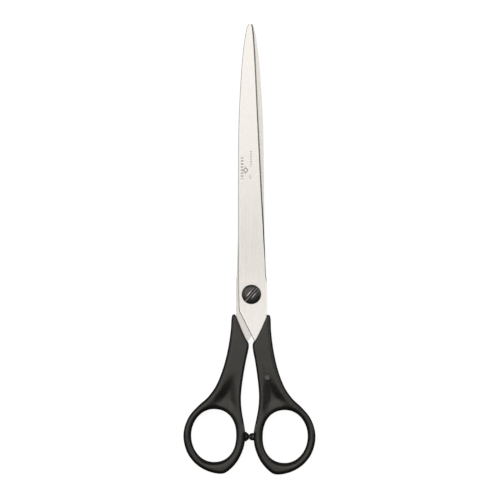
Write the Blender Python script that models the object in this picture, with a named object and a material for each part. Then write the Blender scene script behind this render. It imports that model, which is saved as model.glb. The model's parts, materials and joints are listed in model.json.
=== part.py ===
"""Fabric shears, closed and lying flat on a table.

Metres, +Z up, tips towards +Y. The origin is on the pivot's axis, at the underside of the pivot nut.
The front half is the front blade with the right handle, and the back half is the same thing turned over.
Each half is modelled above the shears' middle plane and then stood at the pivot by its object's transform.
"""

import math

import bmesh
import bpy
import numpy as np
from mathutils import Vector
from mathutils.geometry import delaunay_2d_cdt

MM = 0.001

# Driving sizes
HALF_HEIGHT = 4.5 * MM  # middle plane above the table, and half the thickness of a handle
GAP = 0.3 * MM  # between the two blades, and round a tang in its handle
HANDLE_LEAN = math.radians(1.0)  # both handles sit turned this far clockwise from the blades' line

# Blades
BLADE_THICKNESS = 2.2 * MM  # at the pivot
TIP_THICKNESS = 1.1 * MM
TAPER_START = 12 * MM  # the taper in thickness runs from here to the tip
TIP_Y = 152 * MM
TIP_STEP = 0.5 * MM  # spacing of points across the blunt end of the tip
EDGE_BEVEL = 0.68 * MM  # width of the ground cutting bevel, seen from the front
EDGE_LAND = 0.12 * MM  # thickness left at the cutting edge
HEEL_Y = 16 * MM  # the bevel widens from here over HEEL_RUN
HEEL_RUN = 16 * MM
HEEL_SHARE = 0.55  # of the full width, next to the pivot
RIM_CHAMFER = 0.4 * MM
HOLLOW_DEPTH = 0.25 * MM  # hollow grind of the inner face
HOLLOW_EASE = 3.0 * MM  # from the rim in to the full hollow
HOLLOW_START = 9 * MM  # flat round the pivot, then the hollow deepens over HOLLOW_RUN
HOLLOW_RUN = 14 * MM
TANG_HOLES = ((7.4, -35.0), (9.7, -46.2))  # the handle's plastic runs through these
TANG_HOLE_RADIUS = 1.5 * MM
TANG_ROOM_TOP = -4 * MM  # above the handle's mouth, so that the room for the tang is open there

# Handles
RING_HEIGHT = 4.1 * MM  # half the thickness of a finger ring
NECK_HEIGHT = 3.4 * MM  # half the thickness where the blade comes out
NECK_Y = -12 * MM
NECK_RUN = 20 * MM  # the neck thickens to the full height over this length
RING_START = -54 * MM
RING_RUN = 14 * MM
SIDE_BAND = 1.3 * MM  # half the height of the straight band round the sides
OUTER_ROUND = 2.2 * MM  # width of the rounding inside the outline
INNER_ROUND = 1.3 * MM  # the same on the side next to the other handle
HOLE_ROUND = 2.5 * MM
DISH_DEPTH = 2.05 * MM  # thumb dish above the finger hole
DISH_TOP = -42.5 * MM
DISH_RUN = 14.5 * MM
DISH_RIM = 2.3 * MM  # how far inside the back of the handle the dish begins
DISH_WALL = 5.5 * MM
DISH_INNER_RIM = 1.9 * MM
DISH_INNER_WALL = 5.0 * MM
DISH_LIP = 0.6  # how much of the depth is lost at the finger hole
DISH_LIP_WIDTH = 5.0 * MM
DISH_END = -64 * MM
DISH_FADE = 9 * MM
HOLE_CENTRE = (20.15 * MM, -79.85 * MM)
HOLE_HALF_WIDTH = 12.68 * MM
HOLE_HALF_LENGTH = 15.0 * MM
HOLE_INNER_POWER = 2.25  # fuller than an ellipse on the side next to the other handle

# Pivot
HEAD_RADIUS = 5.45 * MM
HEAD_HEIGHT = 2.6 * MM
HEAD_RIM = 0.45 * MM
HEAD_UNDERCUT = 0.15 * MM
SLOT_WIDTH = 1.9 * MM  # at its mouth
SLOT_FLOOR = 1.25 * MM
SLOT_DEPTH = 1.3 * MM
SLOT_ANGLE = math.radians(48.5)
SHOULDER_RADIUS = 2.9 * MM
SHOULDER_END = 0.02 * MM
SLEEVE_END = -0.1 * MM
THREAD_RADIUS = 1.9 * MM
THREAD_LENGTH = 2.9 * MM
FIT = 0.1 * MM  # radial clearance of each pin in its hole, and between stacked washers
WASHER_RADIUS = 4.7 * MM
WASHER_THICKNESS = 0.3 * MM
NUT_RADIUS = 5.0 * MM
NUT_CHAMFER = 0.5 * MM
NUT_FLOOR = 0.7 * MM

# Stop buffers between the finger rings
STOP_Y = -80.2 * MM
FLANK_X = 2.25 * MM  # inner side of a ring, where its buffer sits
STOP_RADIUS = 2.05 * MM
STOP_NOSE = 0.15 * MM
STOP_GAP = 0.16 * MM
STOP_MEETING = 0.2 * MM  # the buffers meet this far to the left of the middle between the rings
STOP_COLLAR = 0.5 * MM
COLLAR_RADII = {"right_stop": 2.1 * MM, "left_stop": 2.65 * MM}
STOP_STEM_RADIUS = 1.1 * MM
STOP_STEM_LENGTH = 2.8 * MM

# Mesh fineness
OUTLINE_STEP = 1.6 * MM
GRID_STEP = 3.2 * MM
ROUND_STEPS = 4
SEGMENTS = 40
SMALL_SEGMENTS = 24
HOLE_SEGMENTS = 64
SMOOTH_UP_TO = math.radians(32)

# Plans seen from the front, in millimetres from the pivot, counterclockwise
SPINE = [(-1.1, 152), (-1.7, 151), (-2.35, 148.8), (-3.3, 143.5), (-4.7, 132), (-5.6, 120), (-6.3, 108.5),
         (-6.8, 97), (-7.05, 86), (-7.2, 70), (-7.32, 50), (-7.4, 30), (-7.35, 5), (-7.1, -5), (-6.9, -9.4)]
SHOULDER = [(-6.9, -9.4), (0.6, -24.4)]
TANG = [(2.9, -27.8), (4.1, -31.5), (5.3, -37), (6.7, -43.5), (7.5, -47.7), (8.6, -50.9), (10.4, -52.2),
        (12.1, -51.2), (12.5, -48.5), (11.7, -44.5), (10.2, -38), (9.3, -30), (8.8, -22), (8.7, -16)]
EDGE_HEEL = [(8.7, -12), (8.6, 8.4)]
EDGE = [(8.6, 8.4), (8.2, 10.3), (8.05, 13.5), (7.88, 19), (7.5, 30), (6.93, 42), (6.27, 53), (4.7, 86.4),
        (3.75, 108), (2.75, 131), (2.1, 142.5), (1.4, 150.3), (1.0, 152)]
HANDLE_MOUTH = [(10.5, -11.75), (9.2, -11.5), (8.45, -12.5), (5.2, -20), (2.4, -25.7), (1.3, -27.4)]
HANDLE_FLANK = [(1.0, -28.8), (1.35, -31.8), (2.45, -37.1), (3.85, -45.6), (4.85, -54), (5.05, -59.5),
                (4.55, -65.5), (3.3, -72.5), (2.3, -79), (2.7, -84.2), (4.05, -88.9), (6.6, -94)]
HANDLE_RING = [(9.6, -97.65), (12.3, -99.95), (13.9, -100.85), (15.8, -101.15), (19.5, -100.8),
               (25.5, -98.75), (31, -94.8), (35.1, -89), (37.1, -81.5), (36.6, -75.3), (34, -69),
               (29.2, -63.4)]
HANDLE_BACK = [(24, -58.6), (19.8, -52.8), (16.6, -45.5), (14.1, -37), (12.5, -29), (11.4, -20.5),
               (10.95, -13.2)]


# ---------------------------------------------------------------- plans

def curve_through(points, closed=False, step=OUTLINE_STEP):
    """A centripetal Catmull-Rom curve through points in millimetres, as an array of points in metres."""
    knots = [Vector(p) * MM for p in points]
    if closed:
        knots = [knots[-1], *knots, knots[0], knots[1]]
    else:
        knots = [2 * knots[0] - knots[1], *knots, 2 * knots[-1] - knots[-2]]
    found = []
    for a, b, c, d in zip(knots, knots[1:], knots[2:], knots[3:]):
        times = np.cumsum([0] + [math.sqrt((q - p).length) for p, q in ((a, b), (b, c), (c, d))])
        count = max(1, round((c - b).length / step))
        for i in range(count):
            t = times[1] + (times[2] - times[1]) * i / count
            ab = a.lerp(b, (t - times[0]) / (times[1] - times[0]))
            bc = b.lerp(c, (t - times[1]) / (times[2] - times[1]))
            cd = c.lerp(d, (t - times[2]) / (times[3] - times[2]))
            left = ab.lerp(bc, (t - times[0]) / (times[2] - times[0]))
            right = bc.lerp(cd, (t - times[1]) / (times[3] - times[1]))
            found.append(left.lerp(right, (t - times[1]) / (times[2] - times[1])))
    if not closed:
        found.append(knots[-2])
    return np.array([tuple(p) for p in found])


def turned_by(points, angle):
    c, s = math.cos(angle), math.sin(angle)
    return points @ np.array([[c, s], [-s, c]])


def circle(centre, radius, count=SEGMENTS):
    angles = np.arange(count) * 2 * math.pi / count
    return np.array(centre) + radius * np.stack([np.cos(angles), np.sin(angles)], axis=1)


def blade_plan(lean):
    """(outline, cutting edge) of a blade with its tang, which leans with the handle."""
    edge = curve_through(EDGE)
    tang = turned_by(curve_through(TANG), lean)
    shoulder = curve_through(SHOULDER)
    heel = curve_through(EDGE_HEEL)
    tip = curve_through([EDGE[-1], SPINE[0]], step=TIP_STEP)[1:-1]
    outline = np.concatenate([curve_through(SPINE)[:-1], shoulder, tang, heel[:-1], edge, tip])
    return outline, edge


def tang_holes(lean, radius):
    return [turned_by(circle(np.array(c) * MM, radius, 16), lean) for c in TANG_HOLES]


def finger_hole():
    angles = np.arange(HOLE_SEGMENTS) * 2 * math.pi / HOLE_SEGMENTS
    cos, sin = np.cos(angles), np.sin(angles)
    power = np.where(cos < 0, HOLE_INNER_POWER, 2.0)
    reach = (np.abs(cos) ** power + np.abs(sin) ** power) ** (-1 / power)
    size = np.array([HOLE_HALF_WIDTH, HOLE_HALF_LENGTH])
    return np.array(HOLE_CENTRE) + size * np.stack([cos, sin], axis=1) * reach[:, None]


def distance_to(points, line, closed=True):
    """How far each point is from a line of points."""
    starts, ends = (line, np.roll(line, -1, axis=0)) if closed else (line[:-1], line[1:])
    nearest = np.full(len(points), np.inf)
    for a, b in zip(starts, ends):
        along = np.clip((points - a) @ (b - a) / max((b - a) @ (b - a), 1e-18), 0, 1)
        nearest = np.minimum(nearest, np.linalg.norm(points - a - along[:, None] * (b - a), axis=1))
    return nearest


def inside(points, loop):
    crossings = np.zeros(len(points), int)
    for (ax, ay), (bx, by) in zip(loop, np.roll(loop, -1, axis=0)):
        spans = (ay > points[:, 1]) != (by > points[:, 1])
        if by != ay:
            crossings += spans & (points[:, 0] < ax + (points[:, 1] - ay) * (bx - ax) / (by - ay))
    return crossings % 2 == 1


def offset(loop, distance):
    """The counterclockwise loop moved outwards, or inwards where distance is negative."""
    ahead, behind = np.roll(loop, -1, axis=0), np.roll(loop, 1, axis=0)
    direction = ahead - behind
    direction /= np.linalg.norm(direction, axis=1)[:, None]
    return loop + distance * np.stack([direction[:, 1], -direction[:, 0]], axis=1)


# ---------------------------------------------------------------- meshes

def smoothstep(x):
    x = np.clip(x, 0, 1)
    return x * x * (3 - 2 * x)


def rounding(distance, width):
    """Quarter-ellipse rise from 0 at the outline to 1 at width inside it."""
    return np.sqrt(np.clip(1 - (1 - np.clip(distance / width, 0, 1)) ** 2, 0, 1))


def round_insets(width):
    """Insets that divide a rounding of that width into equal turns."""
    return [width * (1 - math.cos(math.pi / 2 * i / ROUND_STEPS)) for i in range(1, ROUND_STEPS + 1)]


def plan_points(outline, holes, insets, extra):
    """Points of the outline and holes, then the inset lines and extra points, then a grid in the middle."""
    loops = [outline, *holes]
    body = [*loops, extra]
    for loop, distances in zip(loops, insets):
        outwards = -1 if loop is outline else 1
        for inset in distances:
            line = offset(loop, outwards * inset)
            room = np.min([distance_to(line, other) for other in loops], axis=0)
            body.append(line[room > 0.97 * inset])
    low, high = outline.min(axis=0), outline.max(axis=0)
    grid = np.array([(x + (row % 2) * GRID_STEP / 2, y)
                     for row, y in enumerate(np.arange(low[1], high[1], GRID_STEP * 0.87))
                     for x in np.arange(low[0], high[0], GRID_STEP)])
    grid = grid[inside(grid, outline)]
    keep = np.ones(len(grid), bool)
    for loop, distances in zip(loops, insets):
        keep &= distance_to(grid, loop) > max(distances, default=0) + GRID_STEP * 0.4
        if loop is not outline:
            keep &= ~inside(grid, loop)
    return np.concatenate([*body, grid[keep]])


def solid_from_plan(name, outline, holes, insets, top, bottom, extra=()):
    """A closed mesh over a plan, with top and bottom giving the height at each point of it."""
    points = plan_points(outline, holes, insets, np.reshape(extra, (-1, 2)))
    rings, start = [], 0
    for loop in [outline, *holes]:
        rings.append(list(range(start, start + len(loop))))
        start += len(loop)
    edges = [(a, b) for ring in rings for a, b in zip(ring, ring[1:] + ring[:1])]
    flat, _, triangles, origins, _, _ = delaunay_2d_cdt([Vector(p) for p in points], edges, [], 0, 1e-7)
    if len(flat) != len(points):
        raise ValueError(f"{name}: two points of the plan fall together")
    order = [found[0] for found in origins]
    triangles = np.array([[order[i] for i in triangle] for triangle in triangles])
    centres = points[triangles].mean(axis=1)
    kept = inside(centres, outline)
    for hole in holes:
        kept &= ~inside(centres, hole)

    upper, lower = top(points), bottom(points)
    mesh = bmesh.new()
    above = [mesh.verts.new((*p, z)) for p, z in zip(points, upper)]
    below = [mesh.verts.new((*p, z)) for p, z in zip(points, lower)]
    for a, b, c in triangles[kept]:
        mesh.faces.new((above[a], above[b], above[c]))
        mesh.faces.new((below[c], below[b], below[a]))
    for ring in rings:
        for a, b in zip(ring, ring[1:] + ring[:1]):
            mesh.faces.new((below[a], below[b], above[b], above[a]))
    bmesh.ops.recalc_face_normals(mesh, faces=mesh.faces)
    bmesh.ops.delete(mesh, geom=[v for v in mesh.verts if not v.link_faces], context="VERTS")
    return object_of(name, mesh)


def turned_solid(name, profile, count=SEGMENTS):
    """A mesh turned round Z from (radius, height) points that start and end on the axis, or form a ring."""
    mesh = bmesh.new()
    rings = []
    for radius, height in profile:
        if radius == 0:
            rings.append([mesh.verts.new((0, 0, height))] * count)
        else:
            rings.append([mesh.verts.new((*p, height)) for p in circle((0, 0), radius, count)])
    on_axis = profile[0][0] == 0
    for lower, upper in zip(rings, rings[1:] if on_axis else rings[1:] + rings[:1]):
        for i in range(count):
            j = (i + 1) % count
            corners = dict.fromkeys([lower[i], lower[j], upper[j], upper[i]])
            mesh.faces.new(corners)
    bmesh.ops.recalc_face_normals(mesh, faces=mesh.faces)
    return object_of(name, mesh)


def object_of(name, mesh):
    data = bpy.data.meshes.new(name)
    mesh.to_mesh(data)
    mesh.free()
    made = bpy.data.objects.new(name, data)
    bpy.context.scene.collection.objects.link(made)
    data.shade_smooth()
    data.set_sharp_from_angle(angle=SMOOTH_UP_TO)
    return made


def cut(piece, cutter):
    """Takes the cutter out of the piece, and hides the cutter with it."""
    cutter.parent = piece
    cutter.hide_render, cutter.display_type = True, "WIRE"
    modifier = piece.modifiers.new(cutter.name, "BOOLEAN")
    modifier.object, modifier.operation, modifier.solver = cutter, "DIFFERENCE", "EXACT"


def paint(piece, material):
    piece.data.materials.append(material)
    return piece


def material(name, colour, roughness, metallic=0.0):
    made = bpy.data.materials.new(name)
    made.use_nodes = True
    shader = made.node_tree.nodes["Principled BSDF"]
    shader.inputs["Base Color"].default_value = (*colour, 1)
    shader.inputs["Roughness"].default_value = roughness
    shader.inputs["Metallic"].default_value = metallic
    return made


# ---------------------------------------------------------------- the pieces, above the middle plane

def blade(name, lean):
    outline, edge = blade_plan(lean)
    heel_start = np.argmin(np.linalg.norm(outline - np.array(EDGE_HEEL[0]) * MM, axis=1))
    blunt = outline[:heel_start + 1]
    past_the_tip = np.concatenate([edge, 2 * edge[-1:] - edge[-2:-1]])

    def thickness(points):
        share = np.clip((points[:, 1] - TAPER_START) / (TIP_Y - TAPER_START), 0, 1)
        return BLADE_THICKNESS + share * (TIP_THICKNESS - BLADE_THICKNESS)

    def bevel_width(points):
        grown = HEEL_SHARE + (1 - HEEL_SHARE) * smoothstep((points[:, 1] - HEEL_Y) / HEEL_RUN)
        return EDGE_BEVEL * grown

    def outer_face(points):
        deep = thickness(points) - EDGE_LAND
        from_edge = distance_to(points, past_the_tip, closed=False)
        ground = deep * np.clip(1 - from_edge / bevel_width(points), 0, 1)
        eased = RIM_CHAMFER * (1 - rounding(distance_to(points, blunt, closed=False), RIM_CHAMFER))
        return GAP / 2 + thickness(points) - np.maximum(ground, eased)

    def inner_face(points):
        across = smoothstep(distance_to(points, outline) / HOLLOW_EASE)
        along = smoothstep((points[:, 1] - HOLLOW_START) / HOLLOW_RUN)
        return GAP / 2 + HOLLOW_DEPTH * across * along

    pivot_hole = circle((0, 0), SHOULDER_RADIUS + FIT)
    holes = [pivot_hole, *tang_holes(lean, TANG_HOLE_RADIUS)]
    insets = [(RIM_CHAMFER, HOLLOW_EASE), (), (), ()]
    along = np.gradient(edge, axis=0)
    inwards = np.stack([-along[:, 1], along[:, 0]], axis=1) / np.linalg.norm(along, axis=1)[:, None]
    bevel_top = edge + bevel_width(edge)[:, None] * inwards
    return solid_from_plan(name, outline, holes, insets, outer_face, inner_face, bevel_top[1:-1])


def tang_cutter(name, lean):
    """The room for the tang: its plan grown by the gap, round it and above and below it."""
    outline, _ = blade_plan(lean)
    low_part = outline[outline[:, 1] < TANG_ROOM_TOP]
    room = offset(low_part, GAP)
    plugs = tang_holes(lean, TANG_HOLE_RADIUS - GAP)

    def level(height):
        return lambda points: np.full(len(points), height)

    return solid_from_plan(name, room, plugs, [(), (), ()],
                           level(1.5 * GAP + BLADE_THICKNESS), level(-GAP / 2))


def handle(name, lean):
    outline = curve_through(HANDLE_MOUTH + HANDLE_FLANK + HANDLE_RING + HANDLE_BACK, closed=True)
    hole = finger_hole()
    flank_middle = 8
    inner_side = curve_through(HANDLE_MOUTH[1:] + HANDLE_FLANK[:flank_middle])
    outer_side = curve_through(HANDLE_FLANK[flank_middle:] + HANDLE_RING + HANDLE_BACK + HANDLE_MOUTH[:1])
    back = curve_through(HANDLE_RING[-5:] + HANDLE_BACK)

    def height(points):
        straight = turned_by(points, -lean)
        y = straight[:, 1]
        from_inner = distance_to(straight, inner_side, closed=False)
        from_outer = distance_to(straight, outer_side, closed=False)
        from_back = distance_to(straight, back, closed=False)
        from_hole = distance_to(straight, hole)
        full = NECK_HEIGHT + (HALF_HEIGHT - NECK_HEIGHT) * smoothstep((NECK_Y - y) / NECK_RUN)
        full += (RING_HEIGHT - HALF_HEIGHT) * smoothstep((RING_START - y) / RING_RUN)
        dish = smoothstep((from_back - DISH_RIM) / DISH_WALL) * smoothstep((DISH_TOP - y) / DISH_RUN)
        dish *= smoothstep((from_inner - DISH_INNER_RIM) / DISH_INNER_WALL)
        dish *= 1 - DISH_LIP * (1 - smoothstep((from_hole - HOLE_ROUND) / DISH_LIP_WIDTH))
        dish *= 1 - smoothstep((DISH_END - y) / DISH_FADE)
        full -= DISH_DEPTH * dish
        rise = rounding(from_inner, INNER_ROUND) * rounding(from_outer, OUTER_ROUND)
        rise *= rounding(from_hole, HOLE_ROUND)
        return SIDE_BAND + (full - SIDE_BAND) * rise

    made = solid_from_plan(name, turned_by(outline, lean), [turned_by(hole, lean)],
                           [round_insets(OUTER_ROUND), round_insets(HOLE_ROUND)],
                           height, lambda points: -height(points))
    cut(made, tang_cutter(name + "_tang_room", lean))
    socket = turned_solid(name + "_stop_socket", stop_stem_profile(FIT), SMALL_SEGMENTS)
    place_stop(socket, lean)
    cut(made, socket)
    return made


def stop_stem_profile(clearance):
    """A plain pin along -Z from just outside the ring's side into it."""
    radius = STOP_STEM_RADIUS + clearance
    return [(0, -STOP_STEM_LENGTH - clearance), (radius, -STOP_STEM_LENGTH - clearance),
            (radius, 2 * GAP), (0, 2 * GAP)]


def stop_profile(collar_radius, reach):
    """Stem, collar and domed nose, along +Z from the ring's side towards the other ring."""
    collar_top = GAP + STOP_COLLAR
    dome = [(STOP_NOSE + (STOP_RADIUS - STOP_NOSE) * math.cos(a),
             collar_top + (reach - collar_top) * math.sin(a)) for a in np.linspace(0, math.pi / 2, 6)]
    return [(0, -STOP_STEM_LENGTH), (STOP_STEM_RADIUS, -STOP_STEM_LENGTH), (STOP_STEM_RADIUS, GAP),
            (collar_radius, GAP), (collar_radius, collar_top), *dome, (0, reach)]


def place_stop(piece, lean):
    """Stands a piece turned round Z on the ring's inner side, pointing at the other ring."""
    spot = turned_by(np.array([[FLANK_X, STOP_Y]]), lean)[0]
    piece.location = (*spot, 0)
    piece.rotation_euler = (0, -math.pi / 2, lean)


def stop(name, lean):
    beyond_middle = STOP_MEETING if name == "right_stop" else -STOP_MEETING
    reach = FLANK_X + beyond_middle - STOP_GAP / 2
    made = turned_solid(name, stop_profile(COLLAR_RADII[name], reach), SMALL_SEGMENTS)
    place_stop(made, lean)
    return made


def slot_cutter(top):
    """A bar longer than the head, narrower at the slot's floor than at its mouth."""
    mesh = bmesh.new()
    bmesh.ops.create_cube(mesh, size=2)
    above_mouth = 2 * SLOT_WIDTH - SLOT_FLOOR
    for vert in mesh.verts:
        vert.co.x *= 1.2 * HEAD_RADIUS
        vert.co.y *= (SLOT_FLOOR if vert.co.z < 0 else above_mouth) / 2
        vert.co.z *= SLOT_DEPTH
    made = object_of("screw_slot", mesh)
    made.location, made.rotation_euler = (0, 0, top), (0, 0, SLOT_ANGLE)
    return made


def pivot_screw():
    """Slotted dome head, a shoulder for the front blade and a plain pin where the thread is."""
    underside = GAP / 2 + BLADE_THICKNESS + WASHER_THICKNESS + 2 * FIT
    top = underside + HEAD_HEIGHT
    dome = [(HEAD_RADIUS * math.cos(a), underside + HEAD_RIM + (HEAD_HEIGHT - HEAD_RIM) * math.sin(a))
            for a in np.linspace(0, math.pi / 2, 9)[:-1]]
    pin_end = SHOULDER_END - THREAD_LENGTH
    profile = [(0, pin_end), (THREAD_RADIUS, pin_end), (THREAD_RADIUS, SHOULDER_END),
               (SHOULDER_RADIUS, SHOULDER_END), (SHOULDER_RADIUS, underside),
               (HEAD_RADIUS - HEAD_UNDERCUT, underside), *dome, (0, top)]
    made = turned_solid("pivot_screw", profile)
    cut(made, slot_cutter(top))
    return made


def pivot_washer():
    low = GAP / 2 + BLADE_THICKNESS + FIT
    inner, outer = SHOULDER_RADIUS + FIT, WASHER_RADIUS
    return turned_solid("pivot_washer", [(inner, low), (outer, low), (outer, low + WASHER_THICKNESS),
                                         (inner, low + WASHER_THICKNESS)])


def pivot_nut():
    """Flange under the back blade, a sleeve through it, and a blind bore for the screw."""
    foot = -HALF_HEIGHT
    flange_top = -GAP / 2 - BLADE_THICKNESS - FIT
    sleeve, bore = SHOULDER_RADIUS, THREAD_RADIUS + FIT
    return turned_solid("pivot_nut", [
        (0, foot), (NUT_RADIUS - NUT_CHAMFER, foot), (NUT_RADIUS, foot + NUT_CHAMFER),
        (NUT_RADIUS, flange_top), (sleeve, flange_top), (sleeve, SLEEVE_END), (bore, SLEEVE_END),
        (bore, foot + NUT_FLOOR), (0, foot + NUT_FLOOR)])


# ---------------------------------------------------------------- assembly

def pivot_frame(name, turned_over=False):
    """An empty on the pivot's axis at the middle plane, which carries one half of the shears."""
    frame = bpy.data.objects.new(name, None)
    bpy.context.scene.collection.objects.link(frame)
    frame.location = (0, 0, HALF_HEIGHT)
    frame.rotation_euler = (0, math.pi if turned_over else 0, 0)
    return frame


def main():
    for old in list(bpy.data.objects):
        bpy.data.objects.remove(old)
    steel = material("stainless_steel", (0.78, 0.76, 0.73), 0.3, metallic=1.0)
    plastic = material("black_plastic", (0.018, 0.017, 0.016), 0.45)
    black_steel = material("black_oxide_steel", (0.03, 0.03, 0.032), 0.35, metallic=0.6)
    rubber = material("black_rubber", (0.012, 0.012, 0.012), 0.6)

    front, back = pivot_frame("front_half"), pivot_frame("back_half", turned_over=True)
    halves = ((front, -HANDLE_LEAN, "front", "right"), (back, HANDLE_LEAN, "back", "left"))
    for frame, lean, word, side in halves:
        for piece in (paint(blade(word + "_blade", lean), steel),
                      paint(handle(side + "_handle", lean), plastic),
                      paint(stop(side + "_stop", lean), rubber)):
            piece.parent = frame
    pins = pivot_frame("pivot")
    for piece in (paint(pivot_screw(), black_steel), paint(pivot_washer(), steel), paint(pivot_nut(), steel)):
        piece.parent = pins


main()
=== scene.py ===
"""Looks of the fabric shears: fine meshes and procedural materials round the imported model.

Metres, +Z up, tips towards +Y. Each half is shaped above the shears' middle plane, with its own handle to the
right, as in the CAD. The front half is raised to the middle plane, and the back half is turned over first.
"""

import json
import math

import bmesh
import bpy
import numpy as np
from mathutils import Matrix, Vector
from mathutils.geometry import delaunay_2d_cdt

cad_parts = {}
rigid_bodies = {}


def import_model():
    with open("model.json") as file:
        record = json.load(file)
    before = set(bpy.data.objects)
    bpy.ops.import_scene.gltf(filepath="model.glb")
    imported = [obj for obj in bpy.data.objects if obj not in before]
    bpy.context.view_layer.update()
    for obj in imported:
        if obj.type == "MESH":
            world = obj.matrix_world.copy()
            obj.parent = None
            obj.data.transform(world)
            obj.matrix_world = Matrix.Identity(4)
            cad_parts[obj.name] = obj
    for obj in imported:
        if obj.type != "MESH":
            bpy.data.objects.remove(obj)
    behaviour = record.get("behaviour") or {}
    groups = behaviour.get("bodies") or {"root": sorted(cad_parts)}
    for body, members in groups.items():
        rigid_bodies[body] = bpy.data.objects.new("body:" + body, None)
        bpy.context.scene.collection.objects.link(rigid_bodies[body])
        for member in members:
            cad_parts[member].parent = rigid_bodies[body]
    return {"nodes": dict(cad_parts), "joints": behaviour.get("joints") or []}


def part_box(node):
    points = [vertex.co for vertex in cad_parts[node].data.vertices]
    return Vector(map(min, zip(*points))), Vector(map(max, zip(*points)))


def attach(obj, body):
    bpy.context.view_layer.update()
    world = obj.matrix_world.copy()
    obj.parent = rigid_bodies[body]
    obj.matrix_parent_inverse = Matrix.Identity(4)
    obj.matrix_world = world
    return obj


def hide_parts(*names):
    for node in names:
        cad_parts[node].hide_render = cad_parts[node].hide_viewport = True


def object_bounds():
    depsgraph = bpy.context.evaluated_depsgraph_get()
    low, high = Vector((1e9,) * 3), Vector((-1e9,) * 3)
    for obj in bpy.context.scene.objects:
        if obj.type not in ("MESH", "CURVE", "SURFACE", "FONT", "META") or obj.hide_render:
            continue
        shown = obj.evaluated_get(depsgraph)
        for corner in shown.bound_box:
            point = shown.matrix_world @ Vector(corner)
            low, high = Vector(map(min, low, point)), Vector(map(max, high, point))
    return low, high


MM = 0.001
OUTER, GROUND, INNER = 0, 1, 2  # a blade's materials, in the order it gets them
PLAIN, PAINTED_HIGHLIGHT = 0, 1  # a handle's: plain nylon, and lighter nylon that paints a highlight on the moulded mark

# Sizes shared with the CAD that its boxes don't give
HANDLE_LEAN = math.radians(1.0)  # both handles sit turned this far clockwise from the blades' line
TIP_THICKNESS = 1.1 * MM
TAPER_START = 12 * MM  # the taper in thickness runs from here to the tip
EDGE_BEVEL = 0.68 * MM  # width of the ground cutting bevel, seen from the front
EDGE_LAND = 0.12 * MM  # thickness left at the cutting edge
HEEL_Y = 16 * MM  # where the cutting bevel begins to widen
HEEL_RUN = 16 * MM
HEEL_SHARE = 0.55  # of the full width, next to the pivot
RIM_ROUND = 0.4 * MM
HOLLOW_DEPTH = 0.25 * MM  # hollow grind of the inner face
HOLLOW_EASE = 3.0 * MM  # from the rim in to the full hollow
HOLLOW_START = 9 * MM  # flat round the pivot, then the hollow deepens over HOLLOW_RUN
HOLLOW_RUN = 14 * MM
TANG_HOLES = ((7.4, -35.0), (9.7, -46.2))  # the handle's plastic runs through these
TANG_HOLE_RADIUS = 1.5 * MM
TANG_FIT = 0.04 * MM  # gap round the tang in its room, and round the plastic in its holes
TANG_ROOM_TOP = -4 * MM  # above the handle's mouth, so that the room for the tang is open there

RING_HEIGHT = 4.1 * MM  # half the thickness of a finger ring
NECK_HEIGHT = 3.4 * MM  # half the thickness where the blade comes out
NECK_Y = -12 * MM
NECK_RUN = 20 * MM  # the neck thickens to the full height over this length
RING_START = -54 * MM
RING_RUN = 14 * MM
SIDE_BAND = 1.3 * MM  # half the height of the straight band round the sides
PARTING_GROOVE = 0.08 * MM  # depth of the groove where the mould's halves met
PARTING_BAND = 0.12 * MM  # half its width
OUTER_ROUND = 2.2 * MM  # width of the rounding inside the outline
INNER_ROUND = 1.3 * MM  # the same on the side next to the other handle
HOLE_ROUND = 2.5 * MM
DISH_DEPTH = 2.05 * MM  # thumb dish above the finger hole
DISH_TOP = -42.5 * MM
DISH_RUN = 14.5 * MM
DISH_RIM = 2.3 * MM  # how far inside the back of the handle the dish begins
DISH_WALL = 5.5 * MM
DISH_INNER_RIM = 1.9 * MM
DISH_INNER_WALL = 5.0 * MM
DISH_LIP = 0.6  # how much of the depth is lost at the finger hole
DISH_LIP_WIDTH = 5.0 * MM
DISH_END = -64 * MM
DISH_FADE = 9 * MM
HOLE_CENTRE = (20.15 * MM, -79.85 * MM)
HOLE_HALF_WIDTH = 12.68 * MM
HOLE_HALF_LENGTH = 15.0 * MM
HOLE_INNER_POWER = 2.25  # fuller than an ellipse on the side next to the other handle
MOULD_MARK = (9.5 * MM, -46.4 * MM)
MOULD_MARK_RADII = (0.85 * MM, 1.1 * MM, 1.45 * MM, 1.7 * MM)
MOULD_DOTS = ((7.7 * MM, -43.3 * MM), (7.4 * MM, -41.3 * MM), (7.1 * MM, -39.3 * MM))
MOULD_DOT_RADII = (0.35 * MM, 0.6 * MM)
MOULD_MARK_HEIGHT = 0.16 * MM
OUTLINE_INSET = 0.03 * MM  # keeps the finer outlines inside the CAD's
FLANK_ROUNDS_FROM = 8  # the flank's knot from which its rounding is the outer one
TOP_SIDE_KNOTS = 5  # the ring's last knots, which with the back bound the thumb dish

SLOT_WIDTH = 1.9 * MM  # at its mouth
SLOT_FLOOR = 1.25 * MM
SLOT_DEPTH = 1.3 * MM
SLOT_ANGLE = math.radians(48.5)
SLOT_OVERRUN = 1.2  # the slot's cutter reaches this many head radii from the axis
SLOT_EASE = 0.09 * MM  # width of the rounding along the slot's edges
EASED_ANGLE = math.radians(40)  # the screw's edges that turn more than this are rounded
HEAD_RIM = 0.45 * MM
HEAD_UNDERCUT = 0.15 * MM
HEAD_REST = 0.05 * MM  # gap between the washer and the head
SHOULDER_END = 0.02 * MM
SHOULDER_FIT = 0.1 * MM
THREAD_RADIUS = 1.9 * MM
PIVOT_HOLE_RADIUS = 3.0 * MM

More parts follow.
